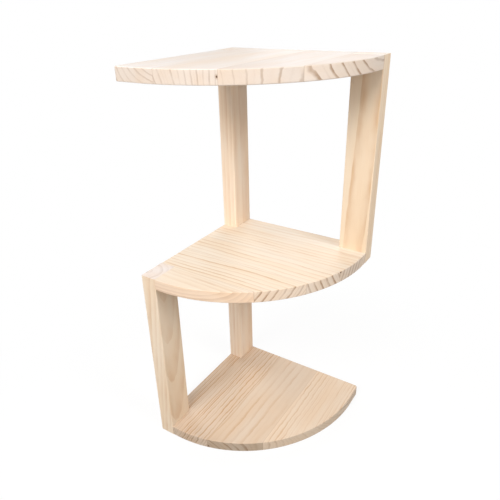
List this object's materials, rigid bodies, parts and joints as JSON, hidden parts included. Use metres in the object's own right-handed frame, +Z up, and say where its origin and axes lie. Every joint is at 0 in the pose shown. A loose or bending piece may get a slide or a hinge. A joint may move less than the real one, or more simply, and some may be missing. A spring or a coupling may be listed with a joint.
{
  "type": "corner shelf",
  "caption": "Open corner shelf in pale pine: quarter-round boards notched round a full-height rear upright and short side uprights that alternate from bay to bay.",
  "frame": {"origin": "on the floor plane, below the centre of the square that the shelf fills in the room corner", "axes": "+Z up; the room corner is at -X +Y, the right-hand wall is the plane on the +Y side and runs along X, the left-hand wall is the plane on the -X side and runs along Y; the curved fronts face +X -Y"},
  "size_m": [0.2, 0.2, 0.466],
  "materials": {
    "pine_top_shelf": "raw sanded pine, matte",
    "pine_middle_shelf": "raw sanded pine, matte",
    "pine_bottom_shelf": "raw sanded pine, matte",
    "pine_uprights": "raw planed pine, matte",
    "screw_steel": "zinc-plated steel, satin"
  },
  "bodies": {
    "root": {"top_stave_1": "pine_top_shelf", "top_stave_2": "pine_top_shelf", "top_stave_3": "pine_top_shelf", "top_stave_4": "pine_top_shelf", "middle_stave_1": "pine_middle_shelf", "middle_stave_2": "pine_middle_shelf", "middle_stave_3": "pine_middle_shelf", "middle_stave_4": "pine_middle_shelf", "middle_stave_5": "pine_middle_shelf", "bottom_stave_1": "pine_bottom_shelf", "bottom_stave_2": "pine_bottom_shelf", "bottom_stave_3": "pine_bottom_shelf", "back_post": "pine_uprights", "left_column": "pine_uprights", "right_column": "pine_uprights", "back_post_screws": "screw_steel", "left_column_screws": "screw_steel", "right_column_screws": "screw_steel"}
  },
  "joints": []
}
